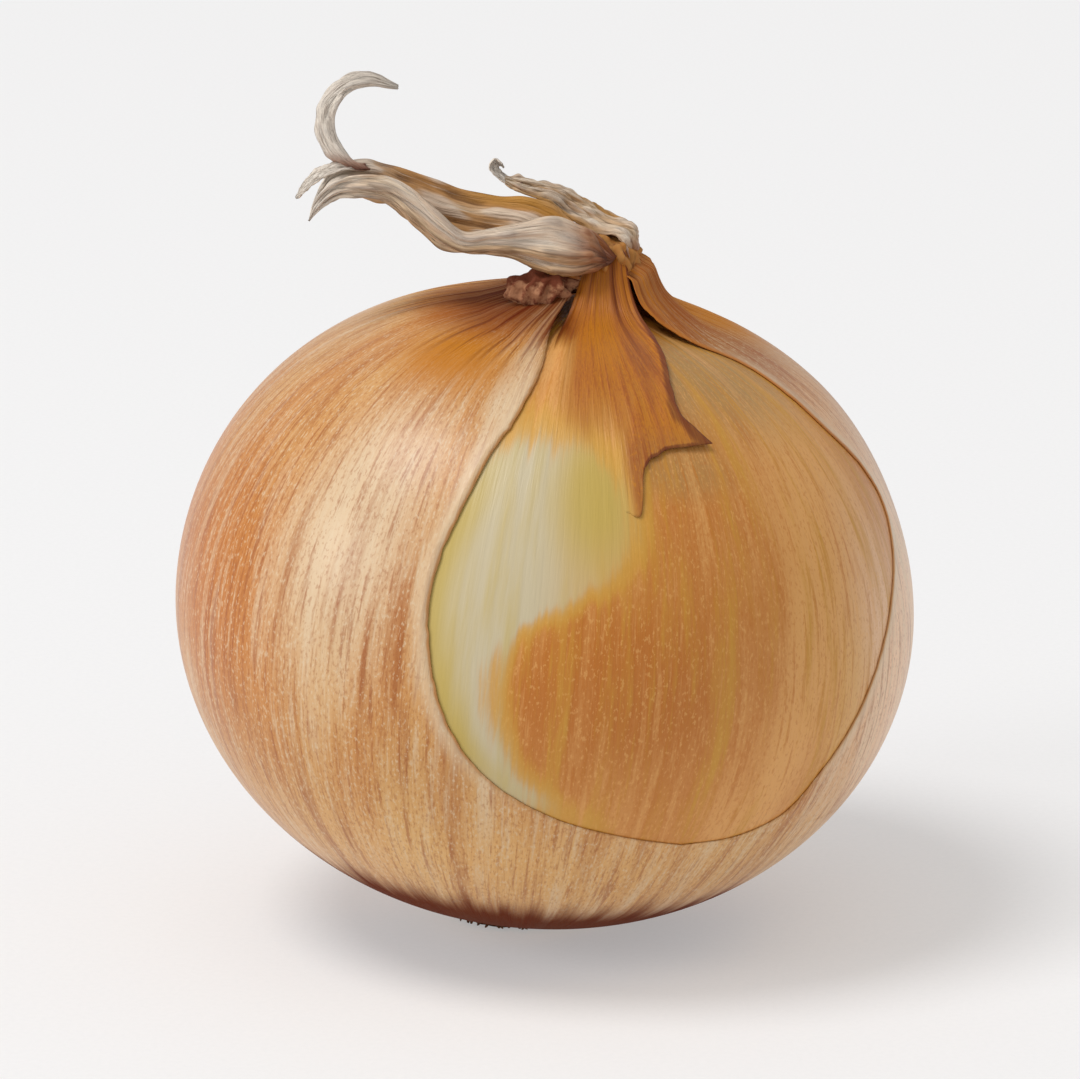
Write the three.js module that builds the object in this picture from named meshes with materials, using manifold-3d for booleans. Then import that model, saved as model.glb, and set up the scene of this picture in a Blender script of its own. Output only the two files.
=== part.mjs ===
// A whole brown onion, cured and dry, resting on its trimmed root plate.
//
// Millimetres, +Z up. The origin is the middle of the flat underside of the root plate, and -Y is the side
// that shows the tear in the outer skin. The bulb leans a little to +X, as it does on a table.
// Places on the bulb are given by azimuth, in degrees from -Y towards +X, and by latitude, in degrees from
// the widest ring up towards the neck.
import * as THREE from 'three';
import { mergeVertices } from 'three/addons/utils/BufferGeometryUtils.js';
import Module from 'manifold-3d';

const wasm = await Module();
wasm.setup();

// Driving dimensions of the bulb.
const BULB_RADIUS = 39.1;
const BULB_HALF_HEIGHT = 33.5;
const BULB_CENTRE_ALONG_AXIS = 35;
const LEAN = 5;
const SHOULDER_FULLNESS = 0.87;
const LOWEST_LATITUDE = -76.5;

// Driving dimensions of the leaves, which are dry and paper thin on the real thing.
const SKIN_GAP = 0.3;
const SKIN_THICKNESS = 0.6;
const PLEATS = 9;
const PLEAT_DEPTH = 0.35;
const PLEAT_REACH = 6;
const EDGE_WAVE = 0.8;

// The neck stands a little to the right of the bulb's own axis, and every layer flares up into it:
// radius where the layer turns up, its rise above the shoulder on its low and high side, and how far
// out along the shoulder the flare is felt.
const NECK_SHIFT = 1.6;
const NECK_SHIFT_REACH = 6;
const NECK_HIGH_SIDE = 110;
const BULB_NECK = { radius: 3.8, low: 1.2, high: 4.2, spread: 1.6 };
const SKIN_NECK = { radius: 5.0, low: 2.2, high: 7.4, spread: 2.2 };
const TORN_NECK = { radius: 4.9, low: 4.2, high: 6.6, spread: 1.9 };
const CORE_HEIGHTS = [37.4, 38.1];
const CORE_RADII = [3.3, 2.2];

// Root plate and its trimmed rootlets.
const PLATE_RADIUS = 6.8;
const PLATE_TOP_ALONG_AXIS = 1.95;
const ROOTLETS = 28;
const ROOTLET_RADIUS = 0.36;
const ROOTLET_REST = 0.08;

const AROUND = 48;
const DEG = Math.PI / 180;

const FLESH = new THREE.MeshStandardMaterial({ color: 0xc98a3c, roughness: 0.45, metalness: 0 });
const SKIN = new THREE.MeshStandardMaterial({ color: 0xcc8a4a, roughness: 0.4, metalness: 0 });
const TORN = new THREE.MeshStandardMaterial({ color: 0xa86a2c, roughness: 0.55, metalness: 0 });
const WITHERED = new THREE.MeshStandardMaterial({ color: 0x5a3a2c, roughness: 0.85, metalness: 0 });
const ROOT = new THREE.MeshStandardMaterial({ color: 0x8a6a48, roughness: 0.9, metalness: 0 });

const lean = new THREE.Matrix4().makeRotationY(LEAN * DEG);
const vec = (x, y, z) => new THREE.Vector3(x, y, z);
const mix = THREE.MathUtils.lerp;
const smooth = THREE.MathUtils.smoothstep;

// Repeatable draws from 0 to 1.
function seededDraw(seed) {
  let state = seed;
  return () => {
    state = (state * 16807) % 2147483647;
    return state / 2147483647;
  };
}

// Moves every corner of a geometry to where place says.
function reshape(geometry, place) {
  const corners = geometry.attributes.position;
  const corner = vec(0, 0, 0);
  for (let i = 0; i < corners.count; i++) {
    corner.fromBufferAttribute(corners, i);
    corners.setXYZ(i, ...place(corner));
  }
  return geometry;
}

// A thin leaf: a flat box whose corners go where place(across, along, side) says. Side is -1 on the back
// and 1 on the front, and both faces are split along the same diagonals, so they never cross.
function leafGeometry(across, along, place) {
  const box = new THREE.BoxGeometry(1, 1, 1, across, along, 1);
  const corners = box.index.array;
  const back = box.groups[5];
  for (let i = back.start; i < back.start + back.count; i += 6) {
    const [a, b, d, , c] = corners.slice(i, i + 5);
    corners.set([a, b, c, a, c, d], i);
  }
  return reshape(box, (p) => place(p.x + 0.5, p.y + 0.5, Math.sign(p.z)));
}

// A round body: a unit cylinder whose corners go where place(azimuth in degrees, row) says. The middle
// of each end has no azimuth.
function roundGeometry(around, rows, place) {
  const drum = new THREE.CylinderGeometry(1, 1, 1, around, rows);
  return reshape(drum, (p) => {
    const isRim = Math.hypot(p.x, p.z) > 0.5;
    return place(isRim ? Math.atan2(p.x, p.z) / DEG : null, Math.round((p.y + 0.5) * rows));
  });
}

// A middle surface at(across, along) thickened evenly to both sides.
function thickened(at, thickness) {
  const step = 0.01;
  return (across, along, side) => {
    const acrossWay = at(across + step, along).sub(at(across - step, along));
    const alongWay = at(across, along + step).sub(at(across, along - step));
    return at(across, along).addScaledVector(acrossWay.cross(alongWay).normalize(), (side * thickness) / 2);
  };
}

function solid(geometry) {
  const bare = geometry.clone();
  bare.deleteAttribute('normal');
  bare.deleteAttribute('uv');
  const merged = mergeVertices(bare, 1e-4);
  const mesh = new wasm.Mesh({
    numProp: 3,
    vertProperties: merged.attributes.position.array,
    triVerts: new Uint32Array(merged.index.array),
  });
  return new wasm.Manifold(mesh);
}

// The main body of a solid, without any crumb that a cut or a fusion left beside it.
function mainBody(manifold) {
  return manifold.decompose().reduce((main, body) => (body.volume() > main.volume() ? body : main));
}

function node(name, manifold, material) {
  const { vertProperties, triVerts } = mainBody(manifold).getMesh();
  const geometry = new THREE.BufferGeometry();
  geometry.setAttribute('position', new THREE.BufferAttribute(new Float32Array(vertProperties), 3));
  geometry.setIndex(new THREE.BufferAttribute(new Uint32Array(triVerts), 1));
  geometry.computeVertexNormals();
  const mesh = new THREE.Mesh(geometry, material);
  mesh.name = name;
  return mesh;
}

// From the bulb's own frame, with its middle at the origin, to the part's frame.
function stand(point) {
  return point.add(vec(0, 0, BULB_CENTRE_ALONG_AXIS)).applyMatrix4(lean);
}

function latitudeOfRadius(radius) {
  return Math.acos((radius / BULB_RADIUS) ** (1 / SHOULDER_FULLNESS)) / DEG;
}

// A point above the bulb's surface by lift, in a layer with that neck.
function onBulb(azimuth, latitude, lift, neck) {
  const fullness = latitude > 0 ? SHOULDER_FULLNESS : 1;
  const bare = BULB_RADIUS * Math.cos(latitude * DEG) ** fullness;
  const out = Math.max(0, bare - neck.radius);
  const highSide = 0.5 + 0.5 * Math.cos((azimuth - NECK_HIGH_SIDE) * DEG);
  const rise = latitude > 0 ? mix(neck.low, neck.high, highSide) * Math.exp(-out / neck.spread) : 0;
  const pleat = PLEAT_DEPTH * Math.exp(-out / PLEAT_REACH) * Math.cos(PLEATS * azimuth * DEG);
  const radius = bare + lift + (latitude > 0 ? pleat : 0);
  const shift = latitude > 0 ? NECK_SHIFT * Math.exp(-out / NECK_SHIFT_REACH) : 0;
  return stand(vec(
    radius * Math.sin(azimuth * DEG) + shift,
    -radius * Math.cos(azimuth * DEG),
    (BULB_HALF_HEIGHT + lift) * Math.sin(latitude * DEG) + rise,
  ));
}

// Rows of latitude from the root end to the neck, closer together where the layer turns up.
function latitudes(neck) {
  const top = latitudeOfRadius(neck.radius);
  const rows = [];
  for (let latitude = LOWEST_LATITUDE; latitude < 66; latitude += 7.1) rows.push(latitude);
  for (let step = 0; step <= 7; step++) rows.push(mix(68, top, smooth(step / 7, -1, 1) * 2 - 1));
  return rows;
}

// The bulb and its tight inner skin, with the withered core of the neck. Its root end is flat, where the
// root plate sits.
function bulb() {
  const rows = latitudes(BULB_NECK);
  const last = rows.length - 1;
  const core = CORE_HEIGHTS.length;
  return solid(roundGeometry(AROUND, last + core, (azimuth, row) => {
    if (row > last) {
      const radius = azimuth === null ? 0 : CORE_RADII[row - last - 1];
      const turn = (azimuth ?? 0) * DEG;
      const height = CORE_HEIGHTS[row - last - 1];
      return stand(vec(radius * Math.sin(turn) + NECK_SHIFT, -radius * Math.cos(turn), height));
    }
    if (azimuth === null) return stand(vec(0, 0, BULB_HALF_HEIGHT * Math.sin(rows[0] * DEG)));
    return onBulb(azimuth, rows[row], 0, BULB_NECK);
  }));
}

// The solid inside a layer's surface at a lift above the bulb, run on past both of its ends by overrun.
function filledLayer(lift, neck, overrun) {
  const rows = latitudes(neck);
  const last = rows.length - 1;
  return solid(roundGeometry(AROUND, last + 2, (azimuth, row) => {
    const isEnd = row === 0 || row === last + 2;
    const latitude = rows[Math.min(Math.max(row - 1, 0), last)];
    const rim = onBulb(azimuth ?? 0, latitude, lift, neck);
    if (!isEnd) return rim;
    const beyond = row === 0 ? -overrun : overrun;
    if (azimuth !== null) return rim.add(vec(0, 0, beyond));
    const opposite = onBulb(180, latitude, lift, neck);
    return rim.add(opposite).multiplyScalar(0.5).add(vec(0, 0, beyond));
  }));
}

// The two free edges of the tear in the outer skin, as azimuth and latitude, from where the tear ends low
// on the front up to the neck.
const TEAR_LEFT = new THREE.SplineCurve([
  [27, -28.8], [15, -26], [4, -22.5], [-4, -18], [-10, -12.5], [-15, -4], [-18, 6], [-19.5, 16],
  [-19, 25], [-17, 35], [-15, 44], [-11.5, 54], [-10, 66], [-14, 77], [-18, 90],
].map(([azimuth, latitude]) => new THREE.Vector2(azimuth, latitude)));
const TEAR_RIGHT = new THREE.SplineCurve([
  [27, -28.8], [39, -28], [48, -24], [52, -17], [57, -9], [61, -2], [66, 6], [71, 13],
  [77, 20], [82, 28], [80, 36], [74, 46], [72, 55], [70, 64], [62, 72], [54, 80], [50, 90],
].map(([azimuth, latitude]) => new THREE.Vector2(azimuth, latitude)));

// The tear as a solid to cut away: it runs from below the skin to well above it, and up past the neck.
function tearCutter() {
  const below = -1;
  const above = 9;
  const pastNeck = 14;
  return solid(leafGeometry(16, 40, (across, along, side) => {
    const place = TEAR_LEFT.getPointAt(along).lerp(TEAR_RIGHT.getPointAt(along), across);
    const wave = EDGE_WAVE * Math.sin(along * 71) * Math.sin(along * 29) * smooth(along, 0, 0.15);
    const azimuth = place.x + wave * (1 - 2 * across);
    const lift = side > 0 ? above : below;
    const point = onBulb(azimuth, Math.min(place.y, 88), lift, { ...SKIN_NECK, low: 0, high: 0 });
    return point.add(vec(0, 0, pastNeck * smooth(along, 0.93, 1)));
  }));
}

// A dry leaf blade folded lengthwise, through three guide lines given from the neck to the tip: its front
// edge, the bottom of its fold and its back edge.
function foldedBlade(guides, across, along, thickness = SKIN_THICKNESS) {
  const lines = guides.map((points) => new THREE.CatmullRomCurve3(points.map((point) => vec(...point))));
  const at = (side, length) => {
    const s = 2 * side - 1;
    const t = THREE.MathUtils.clamp(length, 0, 1);
    const [front, fold, back] = lines.map((line) => {
      const beyond = line.getTangent(t).multiplyScalar((length - t) * 20);
      return line.getPoint(t).add(beyond);
    });
    front.multiplyScalar((s * (s - 1)) / 2);
    return front.addScaledVector(fold, 1 - s * s).addScaledVector(back, (s * (s + 1)) / 2);
  };
  return solid(leafGeometry(across, along, thickened(at, thickness)));
}

// The outer skin's own dried blade, which leaves the back of the neck and bends over to the left, and the
// thin curl at its tip.
function backBlade() {
  const middle = SKIN_GAP + SKIN_THICKNESS / 2;
  const root = (azimuth) => onBulb(azimuth, latitudeOfRadius(SKIN_NECK.radius + 0.4), middle, SKIN_NECK);
  const blade = foldedBlade([
    [[...root(62)], [10.9, -2.3, 76.0], [8.0, -1.1, 76.5], [5.4, 0, 77.4], [3.4, 0.1, 79.0],
      [0.5, 0.3, 80.0], [-1.3, 0.5, 81.1]],
    [[...root(130)], [12.4, 1.2, 76.4], [9.6, 2.5, 77.4], [7.0, 2.4, 79.0], [4.2, 2.0, 80.3],
      [1.2, 1.6, 81.1], [-1.3, 1.2, 81.7]],
    [[...root(215)], [6.6, 5.0, 75.8], [5.9, 4.6, 77.0], [4.8, 4.0, 78.2], [2.9, 3.2, 79.5],
      [0.6, 2.4, 80.6], [-1.2, 1.7, 81.2]],
  ], 6, 16);
  const curl = foldedBlade([
    [[0.5, 0.7, 80.8], [-1.6, 1.0, 81.8], [-2.9, 1.2, 83.2], [-2.4, 1.2, 84.3], [-1.4, 1.3, 83.6]],
    [[0.6, 1.1, 81.2], [-1.3, 1.4, 82.1], [-2.4, 1.5, 83.2], [-2.1, 1.6, 83.9], [-1.3, 1.6, 83.3]],
    [[0.6, 1.6, 81.2], [-1.0, 1.8, 82.2], [-1.9, 1.9, 83.1], [-1.8, 2.0, 83.5], [-1.2, 2.0, 83.0]],
  ], 1, 10);
  return blade.add(curl);
}

// The dry brown skin round the whole bulb. It is torn open at the front from the neck down.
function outerSkin() {
  const outside = filledLayer(SKIN_GAP + SKIN_THICKNESS, SKIN_NECK, 0);
  const inside = filledLayer(SKIN_GAP, SKIN_NECK, 3);
  return outside.subtract(inside).subtract(tearCutter()).add(backBlade());
}

// What is left of the next skin in: a torn flap on the front of the bulb, below the neck.
const FLAP_LEFT = [[-10, 90], [-10, 77], [-7.5, 66], [-9, 55], [-12, 49]];
const FLAP_RIGHT = [[43, 90], [42, 80], [37, 72], [30, 62], [28, 55], [32.6, 48]];
const FLAP_HEM = [
  [-12, 49], [-7, 45.5], [-1, 42], [6, 39.5], [11, 36], [14, 34.5], [16, 43.5], [21, 47], [32.6, 48],
];

function tornFlap() {
  const spline = (points) => new THREE.SplineCurve(points.map(([x, y]) => new THREE.Vector2(x, y)));
  const left = spline(FLAP_LEFT);
  const right = spline(FLAP_RIGHT);
  const hem = spline(FLAP_HEM);
  const top = latitudeOfRadius(TORN_NECK.radius);
  return solid(leafGeometry(16, 14, (across, along, side) => {
    const down = 1 - along;
    const edges = left.getPoint(down).lerp(right.getPoint(down), across);
    const ends = left.getPoint(1).lerp(right.getPoint(1), across);
    const place = edges.add(hem.getPoint(across).sub(ends).multiplyScalar(down ** 3));
    const lift = SKIN_GAP + (side > 0 ? SKIN_THICKNESS : 0);
    return onBulb(place.x, Math.min(place.y, top), lift, TORN_NECK);
  }));
}

// The dried blade above the flap: folded into a gutter, swept to the left over the shoulder and drawn out
// to a tip.
const LONG_BLADE = [
  [[9.4, -4.6, 74.6], [7.9, -5.6, 77.1], [6.3, -6.2, 78.2], [3.9, -6.8, 79.1], [0.2, -7, 78.4],
    [-2.9, -6.8, 77.7], [-5.4, -6.4, 77.4], [-8.3, -5.8, 79.6], [-11, -5.2, 81.7], [-13.7, -4.6, 82.9],
    [-16.7, -4.2, 82.9], [-19.1, -4, 82.3], [-21.1, -3.8, 80.5], [-21.9, -3.5, 78.2]],
  [[9.8, -5.0, 73.6], [8.1, -6.4, 73.2], [6.1, -6.9, 72.8], [3, -6.6, 73.2], [-0.2, -6, 74.6],
    [-2.9, -5.4, 75.2], [-5.6, -5, 75.3], [-8.1, -4.8, 75.8], [-10.5, -4.5, 77.6], [-13.4, -4, 80],
    [-16.7, -3.6, 80.7], [-19.3, -3.4, 80.3], [-20.8, -3.4, 79.2], [-22, -3.4, 77.8]],
  [[10.6, -4.2, 74.2], [8.4, -3.4, 76.5], [6.3, -2.4, 77.4], [3.8, -1.6, 79.2], [0.9, -1.2, 80],
    [-2.1, -1, 80.1], [-5.6, -1, 80.8], [-8.8, -1, 81.9], [-11.8, -1, 83], [-14.2, -1, 83.7],
    [-16.7, -1.2, 84], [-19.3, -2, 83.3], [-20.8, -2.8, 81.4], [-21.8, -3.2, 78.5]],
];

// Two wisps split off it: a short one to the left and one that curls up and over.
function wisps() {
  const short = foldedBlade([
    [[-15.7, -2.6, 83.2], [-18.6, -2.8, 83.1], [-21.1, -2.6, 81.9], [-23.1, -2.2, 80]],
    [[-15.9, -2, 83.6], [-18.8, -2.1, 83.7], [-21.5, -2, 82.4], [-23.4, -1.9, 79.9]],
    [[-15.9, -1.2, 83.8], [-18.9, -1.3, 83.8], [-21.6, -1.3, 82.5], [-23.3, -1.6, 80.2]],
  ], 2, 9);
  const curled = foldedBlade([
    [[-15.4, -2.4, 83.2], [-17.4, -2.4, 84.5], [-19, -2, 87.1], [-19, -1.6, 89.5], [-17.8, -1, 91],
      [-15.7, 0, 91.6], [-12.4, 1.2, 91.1]],
    [[-16.7, -2.8, 83.3], [-18.9, -2.8, 84.8], [-20.3, -2.3, 87.3], [-20.2, -1.8, 90], [-18.4, -1, 91.9],
      [-15.7, 0, 92.5], [-12.4, 1.3, 91.3]],
    [[-18, -1.6, 83.2], [-20, -1.6, 84.7], [-21.1, -1.4, 87.2], [-20.9, -0.8, 90], [-18.7, 0, 92.4],
      [-15.7, 0.8, 93], [-12.4, 1.6, 91.4]],
  ], 2, 18);
  return short.add(curled);
}

// The torn skin is one dry leaf: the flap, the folded blade above it and the wisps at its end.
function tornSkin() {
  return tornFlap().add(foldedBlade(LONG_BLADE, 8, 34)).add(wisps());
}

// The dark, shrunken stub of an older leaf, beside the neck. It sits on the outer skin, under the blade.
function neckStub() {
  const rings = [[1.6, -1.5], [2.5, 0.8], [2.8, 2], [2.5, 3.2], [1.4, 4.2]];
  const foot = onBulb(-43, 81.5, 0, SKIN_NECK);
  const lump = solid(roundGeometry(14, rings.length - 1, (azimuth, row) => {
    const turn = (azimuth ?? 0) * DEG;
    const wrinkle = 1 + 0.12 * Math.cos(5 * turn + row);
    const radius = azimuth === null ? 0 : rings[row][0] * wrinkle;
    return foot.clone().add(vec(radius * Math.sin(turn), -radius * Math.cos(turn) * 0.8, rings[row][1]));
  }));
  const skinBelow = filledLayer(SKIN_GAP * 2 + SKIN_THICKNESS, SKIN_NECK, 3);
  const bladeAbove = foldedBlade(LONG_BLADE, 8, 34, SKIN_THICKNESS + 2 * SKIN_GAP);
  return lump.subtract(skinBelow).subtract(bladeAbove);
}

// One dried rootlet: a thin tapering tube along a bend that leaves the plate's rim.
function rootlet(azimuth, reach, droop, sway) {
  const turn = azimuth * DEG;
  const out = vec(Math.sin(turn), -Math.cos(turn), 0);
  const side = vec(Math.cos(turn), Math.sin(turn), 0);
  const rest = ROOTLET_RADIUS + ROOTLET_REST;
  const way = (radius, height, swing) =>
    out.clone().multiplyScalar(radius).addScaledVector(side, swing).add(vec(0, 0, height));
  const path = new THREE.CatmullRomCurve3([
    way(PLATE_RADIUS - 2.2, 1.1, 0),
    way(PLATE_RADIUS - 0.4, 1.0, 0),
    way(PLATE_RADIUS + reach * 0.5, mix(1.0, rest, droop), sway * 0.4),
    way(PLATE_RADIUS + reach, rest, sway),
  ]);
  const sides = 5;
  const steps = 4;
  const up = vec(0, 0, 1);
  return solid(roundGeometry(sides, steps, (around, row) => {
    const t = row / steps;
    const along = path.getTangent(t);
    const across = along.clone().cross(up).normalize();
    const above = across.clone().cross(along);
    const radius = around === null ? 0 : ROOTLET_RADIUS * mix(1, 0.45, t);
    const angle = (around ?? 0) * DEG;
    return path.getPoint(t)
      .addScaledVector(across, radius * Math.sin(angle))
      .addScaledVector(above, radius * Math.cos(angle));
  }));
}

// The corky root plate, worn flat where the onion rests, with its dry rootlets trimmed short. They are
// longest at the back.
function rootPlate() {
  const rings = [
    [PLATE_RADIUS - 0.5, -2],
    [PLATE_RADIUS, 0.5],
    [PLATE_RADIUS - 0.3, 1.2],
    [PLATE_RADIUS - 1, PLATE_TOP_ALONG_AXIS],
  ];
  const disc = solid(roundGeometry(32, rings.length - 1, (azimuth, row) => {
    const radius = azimuth === null ? 0 : rings[row][0];
    const turn = (azimuth ?? 0) * DEG;
    return vec(radius * Math.sin(turn), -radius * Math.cos(turn), rings[row][1]).applyMatrix4(lean);
  }));
  const draw = seededDraw(20);
  let plate = disc;
  for (let i = 0; i < ROOTLETS; i++) {
    const azimuth = (360 * (i + 0.6 * draw())) / ROOTLETS;
    const atBack = smooth(-Math.cos(azimuth * DEG), 0.1, 1);
    const reach = mix(0.6, 1.4, draw()) + 5 * atBack * draw();
    plate = plate.add(rootlet(azimuth, reach, 0.4 + 0.5 * draw(), (draw() - 0.5) * 2));
  }
  return plate.trimByPlane([0, 0, 1], 0);
}

const onion = new THREE.Group();
onion.name = 'onion';
onion.add(node('bulb', bulb(), FLESH));
onion.add(node('outer_skin', outerSkin(), SKIN));
onion.add(node('torn_skin', tornSkin(), TORN));
onion.add(node('neck_stub', neckStub(), WITHERED));
onion.add(node('root_plate', rootPlate(), ROOT));

export default onion;
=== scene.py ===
"""A whole brown onion: a bulb in torn papery skins, with dried leaves at the neck and a trimmed root plate.

Metres, +Z up. The origin is the middle of the flat underside of the root plate, and -Y is the side that
shows the tear in the outer skin. Places on the bulb are given by azimuth, in degrees from -Y towards +X,
and by latitude, in degrees from the widest ring up towards the neck.
"""

import math
import random
from bisect import bisect
from collections import namedtuple

import bmesh
import bpy
from bpy.props import FloatProperty, FloatVectorProperty, IntProperty, PointerProperty
from mathutils import Euler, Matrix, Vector, noise
from mathutils.kdtree import KDTree


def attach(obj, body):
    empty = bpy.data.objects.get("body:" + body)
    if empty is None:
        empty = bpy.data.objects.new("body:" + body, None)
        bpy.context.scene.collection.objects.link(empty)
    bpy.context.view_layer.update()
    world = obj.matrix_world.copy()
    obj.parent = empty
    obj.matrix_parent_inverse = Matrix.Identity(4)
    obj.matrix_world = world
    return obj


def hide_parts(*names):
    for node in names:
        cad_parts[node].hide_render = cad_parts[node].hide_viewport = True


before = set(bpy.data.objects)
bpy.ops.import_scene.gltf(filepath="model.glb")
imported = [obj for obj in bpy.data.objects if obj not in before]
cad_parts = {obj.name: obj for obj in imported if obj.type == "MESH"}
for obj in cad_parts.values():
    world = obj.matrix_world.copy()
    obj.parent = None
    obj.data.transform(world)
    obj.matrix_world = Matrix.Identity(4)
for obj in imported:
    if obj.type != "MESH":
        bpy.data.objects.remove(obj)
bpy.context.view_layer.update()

bl_info = {
    "name": "Brown Onion",
    "version": (1, 0, 0),
    "blender": (4, 5, 0),
    "location": "3D View > Sidebar > Onion",
    "description": "Builds the skins, dried leaves, roots and stage of a whole brown onion",
    "category": "Add Mesh",
}

MM = 0.001
DEG = math.pi / 180
PICTURE_WIDTH = 1080  # pixels


def linear(red, green, blue):
    """A colour given as it looks on screen, 0 to 255, in the linear values that a shader takes."""
    parts = [part / 255 for part in (red, green, blue)]
    return tuple(p / 12.92 if p <= 0.04045 else ((p + 0.055) / 1.055) ** 2.4 for p in parts)


def length(name, description, millimetres):
    return FloatProperty(
        name=name, description=description, default=millimetres * MM, unit="LENGTH", precision=5
    )


def angle(name, description, degrees):
    return FloatProperty(name=name, description=description, default=degrees * DEG, subtype="ANGLE")


def colour(name, description, red, green, blue):
    return FloatVectorProperty(
        name=name, description=description, default=linear(red, green, blue), subtype="COLOR", min=0, max=1
    )


def strength(name, description, default, unit="NONE"):
    return FloatProperty(name=name, description=description, default=default, min=0, unit=unit)


class OnionBulbSettings(bpy.types.PropertyGroup):
    """Sizes of the bulb that every layer follows, and the colours of its tight inner skin"""

    radius: length("Radius", "Radius of the bulb at its widest ring, without the dry skins", 39.1)
    half_height: length("Half height", "Height of the bulb's shoulder above its widest ring", 33.5)
    centre: length("Centre", "Height of the widest ring above the root plate's underside", 35)
    lean: angle("Lean", "How far the bulb leans to +X", 5)
    fullness: FloatProperty(name="Fullness", description="Under 1 fills out the shoulder", default=0.87)
    neck_shift: length("Neck shift", "How far the neck stands beside the bulb's own axis", 1.6)
    neck_reach: length("Neck reach", "How far out from the neck that shift is felt", 6)
    pleat_depth: length("Pleat depth", "Depth of the lengthwise folds where the skin meets the neck", 0.42)
    pleat_reach: length("Pleat reach", "How far out from the neck the folds are felt", 7)
    pale: colour("Pale flesh", "Flesh that shows white through the thinnest skin", 196, 182, 150)
    green: colour("Green flesh", "Yellow green rim of the pale flesh", 188, 162, 78)
    orange: colour("Orange skin", "Deep orange of the inner skin", 182, 106, 34)
    amber: colour("Amber skin", "Lighter amber of the inner skin", 218, 160, 92)
    olive: colour("Olive skin", "Grey olive shoulder of the inner skin", 164, 128, 74)
    gold: colour("Gold", "Golden line between the pale flesh and the orange skin", 204, 154, 56)
    rose: colour("Rose", "Pale rose of the inner skin's right side", 228, 186, 146)


class OnionSkinSettings(bpy.types.PropertyGroup):
    """Sizes and colours of the dry outer skin"""

    lift: length("Lift", "How far the skin lies off the bulb, away from its torn edges", 0.75)
    thickness: length("Thickness", "Thickness of the papery skin", 0.12)
    flap_thickness: length("Flap thickness", "Thickness of the torn flap below the neck", 0.1)
    edge_lift: length("Edge lift", "How far the torn edge lies off the bulb", 0.1)
    edge_curl: length("Edge curl", "How much further the free left edge curls up", 0.05)
    raggedness: length("Raggedness", "How far the torn edge strays from a clean line", 0.16)
    tan: colour("Tan", "Pale tan of the skin", 204, 154, 94)
    # cream is also the painted highlight on the left of the bulb and along the ridge by the tear.
    cream: colour("Cream", "Pale cream streaks", 216, 192, 158)
    orange: colour("Orange", "Orange brown of the skin", 188, 114, 44)
    # rust is also laid in streaks low on the bulb as painted shade.
    rust: colour("Rust", "Rust brown streaks", 150, 76, 22)
    # wine is also the painted shade in a band round the lower side of the bulb.
    wine: colour("Wine", "Dark wine brown beside the neck and under the bulb", 92, 28, 5)
    gold: colour("Gold", "Golden yellow streaks and edges", 188, 115, 11)
    blush: colour("Blush", "Mauve pink of the rim that curls round the right side", 246, 206, 168)
    straw: colour("Straw", "Yellow tan of the lower half", 224, 178, 112)
    mauve: colour("Mauve", "Brown mauve of the neck's right side", 156, 112, 80)


class OnionLeafSettings(bpy.types.PropertyGroup):
    """Sizes and colours of the dried leaves at the neck"""

    thickness: length("Thickness", "Thickness of a dried leaf", 0.2)
    wrinkle: length("Wrinkle", "Depth of the lengthwise wrinkles", 0.22)
    grey: colour("Grey", "Bleached grey of the dry leaf", 222, 192, 156)
    # brown on the inner face is partly painted shade inside the fold.
    brown: colour("Brown", "Brown of the leaf's inner face and folds", 174, 122, 64)
    # dark is the painted shade in the creases, and also the dark fibre lines.
    dark: colour("Dark brown", "Dark brown of the creases", 98, 62, 32)
    gold: colour("Gold", "Golden edge of the leaf", 182, 126, 40)
    # white is also the painted highlight on the wrinkle ridges and the front ridge.
    white: colour("White", "Bleached white of the tips and ridges", 234, 225, 213)
    stub: colour("Stub", "Shrivelled dark leaf base", 166, 116, 84)


class OnionRootSettings(bpy.types.PropertyGroup):
    """Sizes and colours of the root plate"""

    radius: length("Radius", "Radius of the corky root plate", 6.8)
    rootlets: IntProperty(name="Rootlets", description="Number of dry rootlets", default=64, min=3)
    # The cork and rootlet browns are kept dark partly as painted shade, so the plate under the bulb reads as
    # the contact shade.
    cork: colour("Cork", "Brown of the corky plate", 84, 52, 32)
    # The rootlet colour is darker than dry straw, as painted shade under the bulb.
    hair: colour("Rootlet", "Dry straw of the rootlets", 116, 78, 48)


class OnionStageSettings(bpy.types.PropertyGroup):
    """The floor, the lights and the camera"""

    floor: colour("Floor", "Pale floor", 194, 193, 193)
    floor_glow: strength("Floor glow", "Even light from the lit floor itself", 0.34)
    distance: length("Camera distance", "From the camera to the middle of the bulb", 640)
    elevation: angle("Camera elevation", "How far above the horizon the camera stands", 15)
    frame_width: length("Frame width", "Width of the picture at the bulb", 116.8)
    high_window: strength("High window", "Strength of the soft light from above", 1.5)
    low_window: strength("Low window", "Power of the soft light that the skin reflects", 1.9, "POWER")
    sky: strength("Sky", "Strength of the even light from all round", 0.55)


def mix(start, end, amount):
    return start + (end - start) * amount


def smooth(value, low, high):
    """0 below low and 1 above high, easing in between. Low may be the greater."""
    t = min(max((value - low) / (high - low), 0), 1)
    return t * t * (3 - 2 * t)


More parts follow.
